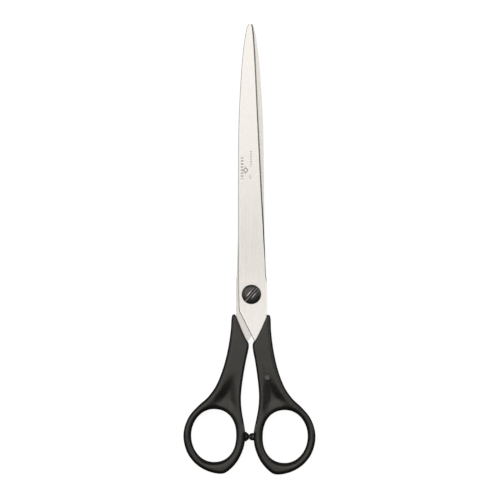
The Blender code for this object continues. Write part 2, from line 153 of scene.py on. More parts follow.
STOP_Y = -80.2 * MM
FLANK_X = 2.25 * MM  # inner side of a ring, where its buffer sits
STOP_RADIUS = 2.05 * MM
STOP_NOSE = 0.75 * MM
STOP_MEETING = 0.2 * MM  # the stops meet this far to the left of the middle between the rings
STOP_GAP = 0.02 * MM
COLLAR_BASE = -0.2 * MM  # the collar begins this far inside the ring's side
COLLAR_TOP = 0.8 * MM  # and ends this far outside it
COLLAR_CHAMFER = (0.12 * MM, 0.15 * MM)
COLLAR_RADII = {"right": 2.1 * MM, "left": 2.65 * MM}
STOP_STEM_RADIUS = 1.1 * MM
STOP_STEM_LENGTH = 2.8 * MM

# Mesh fineness
BLADE_GRID = 2.2 * MM
HANDLE_GRID = 0.8 * MM
ROOM_GRID = 4.0 * MM
BLADE_STEP = 1.0 * MM
TIP_STEP = 0.2 * MM
HANDLE_STEP = 0.7 * MM
RIM_STEPS = 3
ROUND_STEPS = 7
INNER_ROUND_STEPS = 4
INNER_ROUND_LINES = 2  # of those steps, the ones that the wider rounding's lines don't serve
HOLLOW_LINES = (1.4 * MM, HOLLOW_EASE, 4)  # first and last distance from the outline, and how many
PIVOT_HOLE_SEGMENTS = 48
FINGER_HOLE_SEGMENTS = 150
HOLE_SEGMENTS = 24
DOT_SEGMENTS = 12
STOP_SEGMENTS = 64
STOP_DOME_STEPS = 14
SCREW_SEGMENTS = 128
SCREW_DOME_STEPS = 28
EASE_STEPS = 2
INSET_KEPT = 0.96  # an inset line is dropped where it comes closer than this share to any loop
ROW_PITCH = 0.87  # between the grid's staggered rows, in grid steps
GRID_CLEAR_OF_LOOPS = 0.5  # grid steps kept free beside the outlines and holes
GRID_CLEAR_OF_LINES = 0.4  # and beside other lines
MERGE_DISTANCE = 1e-7  # in metres, for points of a plan
NO_LENGTH = 1e-18  # square metres, below which a stretch of a line counts as a point
PAST_THE_TIP = 3  # steps of the cutting edge by which its bevel is carried on past the tip
ON_FACE = 0.97  # a face belongs to a bevel or rim if its centre is within this share of the width
DOWNWARDS = -0.9  # a face whose normal's height is under this looks down
RIM_BOTTOM = 0.06  # a rim's faces keep the plain steel up to this share of the blade's thickness
SMOOTH_UP_TO = math.radians(32)

# Plans seen from the front, in millimetres from the pivot, counterclockwise
SPINE = [(-1.1, 152), (-1.7, 151), (-2.35, 148.8), (-3.3, 143.5), (-4.7, 132), (-5.6, 120), (-6.3, 108.5),
         (-6.8, 97), (-7.05, 86), (-7.2, 70), (-7.32, 50), (-7.4, 30), (-7.35, 5), (-7.1, -5), (-6.9, -9.4)]
SHOULDER = [(-6.9, -9.4), (0.6, -24.4)]
TANG = [(2.9, -27.8), (4.1, -31.5), (5.3, -37), (6.7, -43.5), (7.5, -47.7), (8.6, -50.9), (10.4, -52.2),
        (12.1, -51.2), (12.5, -48.5), (11.7, -44.5), (10.2, -38), (9.3, -30), (8.8, -22), (8.7, -16)]
EDGE_HEEL = [(8.7, -12), (8.6, 8.4)]
EDGE = [(8.6, 8.4), (8.2, 10.3), (8.05, 13.5), (7.88, 19), (7.5, 30), (6.93, 42), (6.27, 53), (4.7, 86.4),
        (3.75, 108), (2.75, 131), (2.1, 142.5), (1.4, 150.3), (1.0, 152)]
HANDLE_MOUTH = [(10.5, -11.75), (9.2, -11.5), (8.45, -12.5), (5.2, -20), (2.4, -25.7), (1.3, -27.4)]
HANDLE_FLANK = [(1.0, -28.8), (1.35, -31.8), (2.45, -37.1), (3.85, -45.6), (4.85, -54), (5.05, -59.5),
                (4.55, -65.5), (3.3, -72.5), (2.3, -79), (2.7, -84.2), (4.05, -88.9), (6.6, -94)]
HANDLE_RING = [(9.6, -97.65), (12.3, -99.95), (13.9, -100.85), (15.8, -101.15), (19.5, -100.8),
               (25.5, -98.75), (31, -94.8), (35.1, -89), (37.1, -81.5), (36.6, -75.3), (34, -69),
               (29.2, -63.4)]
HANDLE_BACK = [(24, -58.6), (19.8, -52.8), (16.6, -45.5), (14.1, -37), (12.5, -29), (11.4, -20.5),
               (10.95, -13.2)]

# The mark etched in the front blade, in millimetres from the pivot
ETCHED_RING = (-3.0, 69.8)
ETCHED_RING_RADIUS = 1.05
ETCHED_RING_LINE = 0.25  # half the width of its line
ETCHED_DOTS = ((-3.0, 71.5), (-3.0, 68.1))
ETCHED_DOT_SIZE = (0.25, 0.3)  # half its width and length
ETCHED_PATCH = (-0.5, 65.9)
ETCHED_PATCH_SIZE = (0.6, 1.3)
ETCHED_PATCH_SHARE = 0.3  # of the other marks' darkness
ETCHED_TICKS = (  # columns: middle, half width, low end, high end and pitch
    (-4.95, 0.75, 64.8, 76.9, 1.7),
    (0.0, 0.45, 71.8, 81.0, 1.4),
)
TICK_SHARE = 0.19  # half a tick's thickness, as a share of the pitch
ETCHED_BLUR = 0.12
TICK_BLUR = 0.1

# Painted highlights beside the slot, painted light on its floor and painted shadow along the foot of its
# walls, on the screw's head, measured from the middle of its slot
# the strips of painted highlight beside the slot lie between these distances from its middle
HIGHLIGHT_STRIPS = (1.15 * MM, 1.58 * MM)
HIGHLIGHT_SHIFT = 0.6 * MM  # each strip's middle lies this far along the slot, the two in opposite directions
HIGHLIGHT_LENGTH = (0.6 * MM, 2.3 * MM)  # the painted highlight fades between these distances from the strip's middle
HIGHLIGHT_AT_ENDS = 0.15
SLOT_CORNER = 0.78 * MM  # painted shadow lies along the foot of the slot's walls
SHADE_FADE = (0.16 * MM, 0.34 * MM)
# painted light on the slot's floor, fading out between these distances from its middle
LIT_SLOT_FLOOR = (0.25 * MM, 0.5 * MM)
TURNING_PITCH = 0.16 * MM  # between the fine rings left by turning

# Steels: linear colour, and roughness with what the streaks add or take
FACE_STEEL = ((0.58, 0.56, 0.535), 0.24)
GROUND_STEEL = ((0.47, 0.46, 0.435), 0.4)
INNER_STEEL = ((0.51, 0.49, 0.463), 0.28)
WASHER_STEEL = ((0.52, 0.51, 0.5), 0.3)
HAIRLINE_ROUGHNESS = 0.05
BAND_ROUGHNESS = 0.03
BAND_SHADE = 0.96  # of the colour, in the darkest bands
ETCHED_COVER = 0.9
ETCHED_ROUGHNESS = 0.2  # added to the steel's
ETCHED_LEAST = 0.55  # of the mark's strength, where it is most worn

# Nylon, black oxide and rubber: roughness, and how much each layer covers
GRAIN_ROUGHNESS = (0.25, 0.35)
CLOUD_ROUGHNESS = 0.03
SPECKLE_ROUGHNESS = 0.1
CLOUD_SHADE = 0.1
PROUD_EDGES = (0.5, 0.56)  # the pointiness at which the nylon begins to be rubbed, and is rubbed most
EDGE_COVER = 0.5
EDGE_SMOOTHING = 0.06
OXIDE_METALLIC = 0.85
OXIDE_ROUGHNESS = (0.3, 0.42)
# how much painted light lies on the slot's floor
SLOT_LIGHT_COVER = 0.8
# how much painted shadow lies along the foot of the slot's walls
SHADE_COVER = 0.95
PATCHY_LEAST = 0.5
WORN_RUBBER = (0.7, 0.3)  # specular level and lowest roughness
DULL_RUBBER = (0.25, 0.5)
RUBBER_SPREAD = 0.12
DUST_ROUGHNESS = 0.6
PAPER_SPECULAR = 0.1
PAPER_ROUGHNESS = 0.8

# Other linear colours; a pair is the darkest and the lightest of a mottled surface
ETCHED_STEEL = (0.09, 0.08, 0.065)
NYLON = ((0.0008, 0.0007, 0.0006), (0.0125, 0.0115, 0.0095))
# lighter nylon for the disc of the moulded mark: a painted highlight
PAINTED_HIGHLIGHT_NYLON = ((0.03, 0.029, 0.027), (0.17, 0.165, 0.155))
NYLON_EDGES = (0.012, 0.0112, 0.0095)
NYLON_GLOSS = (1.0, 0.96, 0.91)
OXIDE = ((0.046, 0.045, 0.041), (0.072, 0.07, 0.068))
# painted light on the slot's floor
OXIDE_LIT_FLOOR = (0.13, 0.125, 0.125)
# painted shadow along the foot of the slot's walls
OXIDE_SHADE = (0.005, 0.005, 0.005)
# painted highlight for the strips beside the slot
OXIDE_HIGHLIGHT = (0.66, 0.62, 0.62)
RUBBER = ((0.004, 0.004, 0.004), (0.009, 0.009, 0.009))
PAPER = ((0.15, 0.15, 0.149), (0.16, 0.16, 0.159))
WHITE = (1.0, 1.0, 1.0)
WARM = (1.0, 0.985, 0.965)

# Noise, in cells per metre, and bumps, as strength and height
NOISE_SPAN = (0.3, 0.7)  # nearly all of a noise's values are between these
STREAKS = {  # a steel's hairlines and broader bands, by the way they run
    "Y": ((9000, 70, 9000), (900, 9, 900)),
    "X": ((70, 9000, 9000), (9, 900, 900)),
}
NYLON_CLOUD, NYLON_SPECKLE, NYLON_PEBBLE, NYLON_GRAIN = 120, 1300, 1900, 5200
OXIDE_BLOTCH = 700
RUBBER_CLOUD = 900
ETCHED_WEAR = 3000
PAPER_GRAIN = 400
HAIRLINE_BUMP = (0.12, 0.01 * MM)
PEBBLE_BUMP = (0.6, 0.05 * MM)
GRAIN_BUMP = (0.4, 0.02 * MM)
TURNING_BUMP = (0.05, 0.02 * MM)
RUBBER_BUMP = (0.08, 0.03 * MM)
DUST_REACH = (0.3 * MM, 0.7 * MM)  # the stops are dusty up to these distances from where they meet

# Camera, floor and light
CAMERA_HEIGHT = 1.0
FIELD_WIDTH = 0.2809  # what the picture shows across, at the blades' height
VIEW_CENTRE = (-0.00072, 0.02494)
CAMERA_ROLL = math.radians(-0.2)
CLIP = (0.01, 10)
FLOOR_REACH = 2.5
FLOOR_SQUARES = 8
FLOOR_DROP = 0.02 * MM  # keeps the paper clear of the lowest piece
FLOOR_GLOW = 0.93  # the paper's own light, seen by the camera alone, which keeps the shadows on it faint
SKY, HORIZON, BELOW = 0.35, 0.12, 0.06  # strength of the world overhead, level with the shears and under them
BELOW_TO_LEVEL = (-0.15, 0.0)  # it changes between them where a direction's Z is in these ranges
LEVEL_TO_SKY = (0.0, 0.8)
NEAR_SHARE = 0.25  # of its strength, on the near side
NEAR_TO_FAR = (-0.7, 0.4)  # the range of a direction's Y in which it grows to the full strength
SOFT_BOXES = (  # name, place, size, power, colour and the point that it faces
    ("overhead_far", (-0.25, 0.43, 1.2), (1.45, 0.72), 4.7, WARM, (-0.25, 0.43, 0)),
    ("overhead_back", (-0.25, 0.98, 1.19), (1.45, 0.34), 4.2, WARM, (-0.25, 0.98, 0)),
    ("overhead_near", (-0.25, -0.18, 1.2), (1.45, 0.38), 2.65, WARM, (-0.25, -0.18, 0)),
    ("left", (-1.15, 0.4, 0.7), (1.2, 1.2), 4.5, WHITE, (0, 0, 0)),
    ("right", (1.15, 0.45, 0.6), (1.0, 1.0), 4.2, WHITE, (0, 0, 0)),
)


# ---------------------------------------------------------------- plans

def curve_through(points, closed=False, step=BLADE_STEP):
    """A centripetal Catmull-Rom curve through points in millimetres, as an array of points in metres."""
    knots = [Vector(p) * MM for p in points]
    if closed:
        knots = [knots[-1], *knots, knots[0], knots[1]]
    else:
        knots = [2 * knots[0] - knots[1], *knots, 2 * knots[-1] - knots[-2]]
    found = []
    for a, b, c, d in zip(knots, knots[1:], knots[2:], knots[3:]):
        times = np.cumsum([0] + [math.sqrt((q - p).length) for p, q in ((a, b), (b, c), (c, d))])
        count = max(1, round((c - b).length / step))
        for i in range(count):
            t = times[1] + (times[2] - times[1]) * i / count
            ab = a.lerp(b, (t - times[0]) / (times[1] - times[0]))
            bc = b.lerp(c, (t - times[1]) / (times[2] - times[1]))
            cd = c.lerp(d, (t - times[2]) / (times[3] - times[2]))
            left = ab.lerp(bc, (t - times[0]) / (times[2] - times[0]))
            right = bc.lerp(cd, (t - times[1]) / (times[3] - times[1]))
            found.append(left.lerp(right, (t - times[1]) / (times[2] - times[1])))
    if not closed:
        found.append(knots[-2])
    return np.array([tuple(p) for p in found])


def turned_by(points, angle):
    """Points of a plan turned about the pivot, counterclockwise."""
    c, s = math.cos(angle), math.sin(angle)
    return points @ np.array([[c, s], [-s, c]])


def circle(centre, radius, count):
    angles = np.arange(count) * 2 * math.pi / count
    return np.array(centre) + radius * np.stack([np.cos(angles), np.sin(angles)], axis=1)


def blade_plan(lean):
    """(outline, cutting edge) of a blade with its tang, which leans with the handle."""
    edge = curve_through(EDGE)
    tang = turned_by(curve_through(TANG), lean)
    shoulder = curve_through(SHOULDER)
    heel = curve_through(EDGE_HEEL)
    tip = curve_through([EDGE[-1], SPINE[0]], step=TIP_STEP)[1:-1]
    outline = np.concatenate([curve_through(SPINE)[:-1], shoulder, tang, heel[:-1], edge, tip])
    return outline, edge


def tang_holes(lean, radius):
    return [turned_by(circle(np.array(c) * MM, radius, HOLE_SEGMENTS), lean) for c in TANG_HOLES]


def finger_hole():
    """An oval loop, fuller than an ellipse on the side next to the other handle."""
    angles = np.arange(FINGER_HOLE_SEGMENTS) * 2 * math.pi / FINGER_HOLE_SEGMENTS
    cos, sin = np.cos(angles), np.sin(angles)
    power = np.where(cos < 0, HOLE_INNER_POWER, 2)
    reach = (np.abs(cos) ** power + np.abs(sin) ** power) ** (-1 / power)
    size = np.array([HOLE_HALF_WIDTH, HOLE_HALF_LENGTH])
    return np.array(HOLE_CENTRE) + size * np.stack([cos, sin], axis=1) * reach[:, None]


def distance_to(points, line, closed=True):
    """How far each point is from a line of points."""
    starts, ends = (line, np.roll(line, -1, axis=0)) if closed else (line[:-1], line[1:])
    nearest = np.full(len(points), np.inf)
    for a, b in zip(starts, ends):
        along = np.clip((points - a) @ (b - a) / max((b - a) @ (b - a), NO_LENGTH), 0, 1)
        nearest = np.minimum(nearest, np.linalg.norm(points - a - along[:, None] * (b - a), axis=1))
    return nearest


def inside(points, loop):
    """Whether each point is inside a loop of points."""
    crossings = np.zeros(len(points), int)
    for (ax, ay), (bx, by) in zip(loop, np.roll(loop, -1, axis=0)):
        if by != ay:
            spans = (ay > points[:, 1]) != (by > points[:, 1])
            crossings += spans & (points[:, 0] < ax + (points[:, 1] - ay) * (bx - ax) / (by - ay))
    return crossings % 2 == 1


def offset(loop, distance):
    """The counterclockwise loop moved outwards, or inwards where distance is negative."""
    direction = np.roll(loop, -1, axis=0) - np.roll(loop, 1, axis=0)
    direction /= np.linalg.norm(direction, axis=1)[:, None]
    return loop + distance * np.stack([direction[:, 1], -direction[:, 0]], axis=1)


def smoothstep(x):
    x = np.clip(x, 0, 1)
    return x * x * (3 - 2 * x)


def rounding(distance, width):
    """Quarter-ellipse rise from 0 at an edge to 1 at width inside it."""
    return np.sqrt(np.clip(1 - (1 - np.clip(distance / width, 0, 1)) ** 2, 0, 1))


def round_insets(width, count):
    """Insets that divide a rounding of that width into equal turns."""
    return [width * (1 - math.cos(math.pi / 2 * i / count)) for i in range(1, count + 1)]


# ---------------------------------------------------------------- meshes

def solid_from_plan(name, outline, holes, insets, grid_step, top, bottom, wall=(), extra=(), creases=()):
    """A closed mesh over a plan, with top and bottom giving the height at each point of it.

    insets has one list of distances for each loop, and the mesh has edges along the lines at those distances.
    wall is rows of (height, inset) between the top and bottom rims. extra is more closed loops of edges, and
    creases is more open ones.
    """
    loops = [outline, *holes]
    points, edges = [], []

    def add_line(line, kept=None, closed=True):
        start = len(points)
        points.extend(line if kept is None else line[kept])
        index = np.full(len(line), -1)
        index[np.arange(len(line)) if kept is None else np.flatnonzero(kept)] = range(start, len(points))
        ahead = np.roll(index, -1) if closed else np.append(index[1:], -1)
        edges.extend((int(a), int(b)) for a, b in zip(index, ahead) if a >= 0 and b >= 0)

    for loop in loops:
        add_line(loop)
    for loop, distances in zip(loops, insets):
        outwards = -1 if loop is outline else 1
        for inset in distances:
            line = offset(loop, outwards * inset)
            room = np.min([distance_to(line, other) for other in loops], axis=0)
            add_line(line, room > INSET_KEPT * inset)
    for loop in extra:
        add_line(loop)
    for line in creases:
        add_line(line, closed=False)
    low, high = outline.min(axis=0), outline.max(axis=0)
    grid = np.array([(x + (row % 2) * grid_step / 2, y)
                     for row, y in enumerate(np.arange(low[1], high[1], grid_step * ROW_PITCH))
                     for x in np.arange(low[0], high[0], grid_step)])
    keep = inside(grid, outline)
    for loop, distances in zip(loops, insets):
        keep &= distance_to(grid, loop) > max(distances, default=0) + grid_step * GRID_CLEAR_OF_LOOPS
    for loop in holes:
        keep &= ~inside(grid, loop)
    for line in (*extra, *creases):
        keep &= distance_to(grid, line, closed=False) > grid_step * GRID_CLEAR_OF_LINES
    points.extend(grid[keep])

    flat, _, triangles, _, _, _ = delaunay_2d_cdt([Vector(p) for p in points], edges, [], 0, MERGE_DISTANCE)
    flat = np.array([tuple(p) for p in flat])
    triangles = np.array(triangles)
    centres = flat[triangles].mean(axis=1)
    kept = inside(centres, outline)
    for hole in holes:
        kept &= ~inside(centres, hole)
    triangles = triangles[kept]

    directed = {side for a, b, c in triangles.tolist() for side in ((a, b), (b, c), (c, a))}
    rim = [(a, b) for a, b in directed if (b, a) not in directed]
    outward = {}
    for a, b in rim:
        along = flat[b] - flat[a]
        for i in (a, b):
            outward[i] = outward.get(i, 0) + np.array([along[1], -along[0]])

    mesh = bmesh.new()
    used = sorted(set(triangles.ravel().tolist()))
    upper, lower = top(flat), bottom(flat)
    rows = [{i: mesh.verts.new((*flat[i], upper[i])) for i in used}]
    for height, inset in wall:
        rows.append({i: mesh.verts.new((*(flat[i] - inset * n / np.linalg.norm(n)), height))
                     for i, n in outward.items()})
    rows.append({i: mesh.verts.new((*flat[i], lower[i])) for i in used})
    for a, b, c in triangles.tolist():
        mesh.faces.new((rows[0][a], rows[0][b], rows[0][c]))
        mesh.faces.new((rows[-1][c], rows[-1][b], rows[-1][a]))
    for above, below in zip(rows, rows[1:]):
        for a, b in rim:
            mesh.faces.new((below[a], below[b], above[b], above[a]))
    return object_of(name, mesh)


def turned_solid(name, profile, count):
    """A mesh turned round Z from (radius, height) points that start and end on the axis, or form a ring."""
    mesh = bmesh.new()
    rings = []
    for radius, height in profile:
        if radius == 0:
            rings.append([mesh.verts.new((0, 0, height))] * count)
        else:
            rings.append([mesh.verts.new((*p, height)) for p in circle((0, 0), radius, count)])
    on_axis = profile[0][0] == 0
    for lower, upper in zip(rings, rings[1:] if on_axis else rings[1:] + rings[:1]):
        for i in range(count):
            j = (i + 1) % count
            mesh.faces.new(dict.fromkeys([lower[i], lower[j], upper[j], upper[i]]))
    bmesh.ops.recalc_face_normals(mesh, faces=mesh.faces)
    return object_of(name, mesh)


def object_of(name, mesh):
    data = bpy.data.meshes.new(name)
    mesh.to_mesh(data)
    mesh.free()
    made = bpy.data.objects.new(name, data)
    bpy.context.scene.collection.objects.link(made)
    data.shade_smooth()
    data.set_sharp_from_angle(angle=SMOOTH_UP_TO)
    return made


def cut(piece, cutter):
    """Takes the cutter out of the piece's mesh, and removes the cutter."""
    modifier = piece.modifiers.new("cut", "BOOLEAN")
    modifier.object, modifier.operation, modifier.solver = cutter, "DIFFERENCE", "EXACT"
    settle(piece)
    bpy.data.objects.remove(cutter)


def settle(piece):
    """Applies the piece's modifiers."""
    graph = bpy.context.evaluated_depsgraph_get()
    piece.data = bpy.data.meshes.new_from_object(piece.evaluated_get(graph))
    piece.modifiers.clear()
    piece.data.set_sharp_from_angle(angle=SMOOTH_UP_TO)


def ease_edges(piece, width):
    """Rounds the piece's sharp edges."""
    modifier = piece.modifiers.new("ease", "BEVEL")
    modifier.width, modifier.segments = width, EASE_STEPS
    modifier.limit_method, modifier.angle_limit = "ANGLE", EASED_ANGLE
    settle(piece)


def face_centres(piece):
    return np.array([tuple(face.center) for face in piece.data.polygons])


def paint(piece, indices):
    """Gives each face the material with that index."""
    piece.data.polygons.foreach_set("material_index", indices.astype(np.int32))


# ---------------------------------------------------------------- pieces, above the middle plane

def blade(name, lean, size):
    """A blade with its bevel, hollow inner face and tang."""
    outline, edge = blade_plan(lean)
    heel_start = np.argmin(np.linalg.norm(outline - np.array(EDGE_HEEL[0]) * MM, axis=1))
    blunt = outline[:heel_start + 1]

    def thickness(points):
        share = np.clip((points[:, 1] - TAPER_START) / (size["tip_y"] - TAPER_START), 0, 1)
        return size["blade"] + share * (TIP_THICKNESS - size["blade"])

    def bevel_width(points):
        grown = HEEL_SHARE + (1 - HEEL_SHARE) * smoothstep((points[:, 1] - HEEL_Y) / HEEL_RUN)
        return EDGE_BEVEL * grown

    past_the_tip = np.concatenate([edge, edge[-1:] + PAST_THE_TIP * (edge[-1:] - edge[-2:-1])])

    def outer_face(points):
        deep = thickness(points) - EDGE_LAND
        from_edge = distance_to(points, past_the_tip, closed=False)
        ground = deep * np.clip(1 - from_edge / bevel_width(points), 0, 1)
        eased = RIM_ROUND * (1 - rounding(distance_to(points, blunt, closed=False), RIM_ROUND))
        return size["gap"] / 2 + thickness(points) - np.maximum(ground, eased)

    def inner_face(points):
        across = smoothstep(distance_to(points, outline) / HOLLOW_EASE)
        along = smoothstep((points[:, 1] - HOLLOW_START) / HOLLOW_RUN)
        return size["gap"] / 2 + HOLLOW_DEPTH * across * along

    pivot_hole = circle((0, 0), PIVOT_HOLE_RADIUS, PIVOT_HOLE_SEGMENTS)
    holes = [pivot_hole, *tang_holes(lean, TANG_HOLE_RADIUS)]
    lines = [*round_insets(RIM_ROUND, RIM_STEPS), *np.linspace(*HOLLOW_LINES)]
    along = np.gradient(edge, axis=0)
    inwards = np.stack([-along[:, 1], along[:, 0]], axis=1) / np.linalg.norm(along, axis=1)[:, None]
    crease = edge + bevel_width(edge)[:, None] * inwards
    made = solid_from_plan(name, outline, holes, [lines, [], [], []], BLADE_GRID, outer_face, inner_face,
                           creases=[crease[1:]])

    low = size["gap"] / 2 + size["blade"] * RIM_BOTTOM
    centres = face_centres(made)
    ground = distance_to(centres[:, :2], past_the_tip, closed=False) < bevel_width(centres) * ON_FACE
    ground |= distance_to(centres[:, :2], blunt, closed=False) < RIM_ROUND * ON_FACE
    ground &= centres[:, 2] > low
    downwards = np.array([f.normal.z < DOWNWARDS for f in made.data.polygons])
    paint(made, np.where(downwards, INNER, np.where(ground, GROUND, OUTER)))
    return made


def tang_cutter(lean, size):
    """The tang's room in its handle, with the plastic left that runs through the tang's holes."""
    outline, _ = blade_plan(lean)
    low_part = outline[outline[:, 1] < TANG_ROOM_TOP]
    room = offset(low_part, TANG_FIT)
    plugs = tang_holes(lean, TANG_HOLE_RADIUS - TANG_FIT)

    def level(height):
        return lambda points: np.full(len(points), height)

    above = size["gap"] / 2 + size["blade"] + TANG_FIT
    below = size["gap"] / 2 - TANG_FIT
    return solid_from_plan("cutter", room, plugs, [[], [], []], ROOM_GRID, level(above), level(below))


def raised_mark(points):
    """The share of the moulded mark's height at each point: a ring, with dots beside it."""
    start, low, high, end = MOULD_MARK_RADII
    from_mark = np.linalg.norm(points - np.array(MOULD_MARK), axis=1)
    share = smoothstep((from_mark - start) / (low - start))
    share *= 1 - smoothstep((from_mark - high) / (end - high))
    low, high = MOULD_DOT_RADII
    for dot in MOULD_DOTS:
        from_dot = np.linalg.norm(points - np.array(dot), axis=1)
        share = np.maximum(share, 1 - smoothstep((from_dot - low) / (high - low)))
    return share


def handle(name, lean, size, marked):
    """A shank and finger ring round the tang, with a dish for the thumb."""
    straight_outline = curve_through(HANDLE_MOUTH + HANDLE_FLANK + HANDLE_RING + HANDLE_BACK, closed=True,
                                     step=HANDLE_STEP)
    straight_hole = finger_hole()
    narrow_flank, wide_flank = HANDLE_FLANK[:FLANK_ROUNDS_FROM], HANDLE_FLANK[FLANK_ROUNDS_FROM:]
    inner_side = curve_through(HANDLE_MOUTH[1:] + narrow_flank)
    outer_side = curve_through(wide_flank + HANDLE_RING + HANDLE_BACK + HANDLE_MOUTH[:1])
    top_side = curve_through(HANDLE_RING[-TOP_SIDE_KNOTS:] + HANDLE_BACK)
    full_height = size["handle"]

    def height(points):
        p = turned_by(points, -lean)
        y = p[:, 1]
        full = NECK_HEIGHT + (full_height - NECK_HEIGHT) * smoothstep((NECK_Y - y) / NECK_RUN)
        full += (RING_HEIGHT - full_height) * smoothstep((RING_START - y) / RING_RUN)
        from_inner = distance_to(p, inner_side, closed=False)
        from_outer = distance_to(p, outer_side, closed=False)
        from_hole = distance_to(p, straight_hole)
        from_back = distance_to(p, top_side, closed=False)
        dish = smoothstep((from_back - DISH_RIM) / DISH_WALL) * smoothstep((DISH_TOP - y) / DISH_RUN)
        dish *= smoothstep((from_inner - DISH_INNER_RIM) / DISH_INNER_WALL)
        dish *= 1 - DISH_LIP * (1 - smoothstep((from_hole - HOLE_ROUND) / DISH_LIP_WIDTH))
        dish *= 1 - smoothstep((DISH_END - y) / DISH_FADE)
        full -= DISH_DEPTH * dish
        rise = rounding(from_inner, INNER_ROUND) * rounding(from_outer, OUTER_ROUND)
        rise *= rounding(from_hole, HOLE_ROUND)
        return SIDE_BAND + (full - SIDE_BAND) * rise

    def marked_height(points):
        return height(points) + MOULD_MARK_HEIGHT * raised_mark(turned_by(points, -lean))

    def underside(points):
        return -height(points)

    outline = turned_by(offset(straight_outline, -OUTLINE_INSET), lean)
    hole = turned_by(straight_hole, lean)
    narrow_lines = round_insets(INNER_ROUND, INNER_ROUND_STEPS)[:INNER_ROUND_LINES]
    lines = [sorted({*round_insets(OUTER_ROUND, ROUND_STEPS), *narrow_lines}),
             round_insets(HOLE_ROUND, ROUND_STEPS)]
    wall = [(PARTING_BAND, 0), (0, PARTING_GROOVE), (-PARTING_BAND, 0)]
    rings = [circle(MOULD_MARK, radius, HOLE_SEGMENTS) for radius in MOULD_MARK_RADII]
    rings += [circle(dot, radius, DOT_SEGMENTS) for dot in MOULD_DOTS for radius in MOULD_DOT_RADII]
    top, extra = (marked_height, [turned_by(ring, lean) for ring in rings]) if marked else (height, ())
    made = solid_from_plan(name, outline, [hole], lines, HANDLE_GRID, top, underside, wall, extra)
    cut(made, tang_cutter(lean, size))
    if marked:
        paint_highlight(made, turned_by(np.array([MOULD_MARK]), lean)[0])
    return made


def paint_highlight(made, mark):
    """Gives the disc inside the moulded ring, on the upper side, the lighter material: a painted highlight.
    """
    centres = face_centres(made)
    away = np.linalg.norm(centres[:, :2] - mark, axis=1)
    lightened = (away < MOULD_MARK_RADII[2]) & (centres[:, 2] > NECK_HEIGHT / 2)
    paint(made, np.where(lightened, PAINTED_HIGHLIGHT, PLAIN))


def place_stop(piece, lean):
    """Stands a piece turned round Z on the ring's inner side, pointing at the other ring."""
    x, y = turned_by(np.array([[FLANK_X, STOP_Y]]), lean)[0]
    turn = Matrix.Rotation(lean, 4, "Z") @ Matrix.Rotation(-math.pi / 2, 4, "Y")
    piece.data.transform(Matrix.Translation((x, y, 0)) @ turn)


def stop(side, lean):
    """Collar and domed nose, with a stem into the ring."""
    reach = FLANK_X - STOP_GAP / 2 + (STOP_MEETING if side == "right" else -STOP_MEETING)
    collar = COLLAR_RADII[side]
    inwards, downwards = COLLAR_CHAMFER
    swell, rise = STOP_RADIUS - STOP_NOSE, reach - COLLAR_TOP
    dome = [(STOP_NOSE + swell * math.cos(a), COLLAR_TOP + rise * math.sin(a))
            for a in np.linspace(0, math.pi / 2, STOP_DOME_STEPS)]
    stem = [(0, -STOP_STEM_LENGTH), (STOP_STEM_RADIUS, -STOP_STEM_LENGTH), (STOP_STEM_RADIUS, COLLAR_BASE)]
    rim = [(collar, COLLAR_BASE), (collar, COLLAR_TOP - downwards), (collar - inwards, COLLAR_TOP)]
    profile = [*stem, *rim, *dome, (0, reach)]
    made = turned_solid(side + "_stop_fine", profile, STOP_SEGMENTS)
    place_stop(made, lean)
    return made


def slot_cutter(reach, top):
    """A bar longer than the head is wide, and narrower at the slot's floor than at its mouth."""
    mesh = bmesh.new()
    bmesh.ops.create_cube(mesh, size=2)
    for vert in mesh.verts:
        below = vert.co.z < 0
        vert.co.x *= SLOT_OVERRUN * reach
        vert.co.y *= (SLOT_FLOOR if below else 2 * SLOT_WIDTH - SLOT_FLOOR) / 2
        vert.co.z *= SLOT_DEPTH
    place = Matrix.Translation((0, 0, top)) @ Matrix.Rotation(SLOT_ANGLE, 4, "Z")
    bmesh.ops.transform(mesh, matrix=place, verts=mesh.verts)
    return object_of("cutter", mesh)


def pivot_screw(size):
    """A slotted dome head on a shoulder and a pin."""
    underside, top = size["head_low"], size["head_top"]
    radius, pin_end = size["head"], size["pin_end"]
    shoulder = PIVOT_HOLE_RADIUS - SHOULDER_FIT
    rim_top = underside + HEAD_RIM
    dome = [(radius * math.cos(a), rim_top + (top - rim_top) * math.sin(a))
            for a in np.linspace(0, math.pi / 2, SCREW_DOME_STEPS)[:-1]]
    profile = [(0, pin_end), (THREAD_RADIUS, pin_end), (THREAD_RADIUS, SHOULDER_END),
               (shoulder, SHOULDER_END), (shoulder, underside), (radius - HEAD_UNDERCUT, underside),
               *dome, (0, top)]
    made = turned_solid("pivot_screw_fine", profile, SCREW_SEGMENTS)
    cut(made, slot_cutter(radius, top))
    ease_edges(made, SLOT_EASE)
    return made


# ---------------------------------------------------------------- materials

def node(tree, kind, inputs=None, **settings):
    """Adds a node, each of whose inputs gets a link or a value."""
    made = tree.nodes.new(kind)
    for key, value in settings.items():
        setattr(made, key, value)
    for key, value in (inputs or {}).items():
        if isinstance(value, bpy.types.NodeSocket):
            tree.links.new(value, made.inputs[key])
        else:
            made.inputs[key].default_value = value
    return made


def maths(tree, operation, a, b=0.0, c=0.0, clamp=False):
    return node(tree, "ShaderNodeMath", {0: a, 1: b, 2: c}, operation=operation, use_clamp=clamp).outputs[0]


def mixed(tree, factor, a, b):
    """Colour a where the factor is 0, and b where it is 1."""
    made = node(tree, "ShaderNodeMix", {0: factor}, data_type="RGBA")
    for socket, value in ((made.inputs[6], a), (made.inputs[7], b)):
        if isinstance(value, bpy.types.NodeSocket):
            tree.links.new(value, socket)
        else:
            socket.default_value = (*value, 1)
    return made.outputs[2]


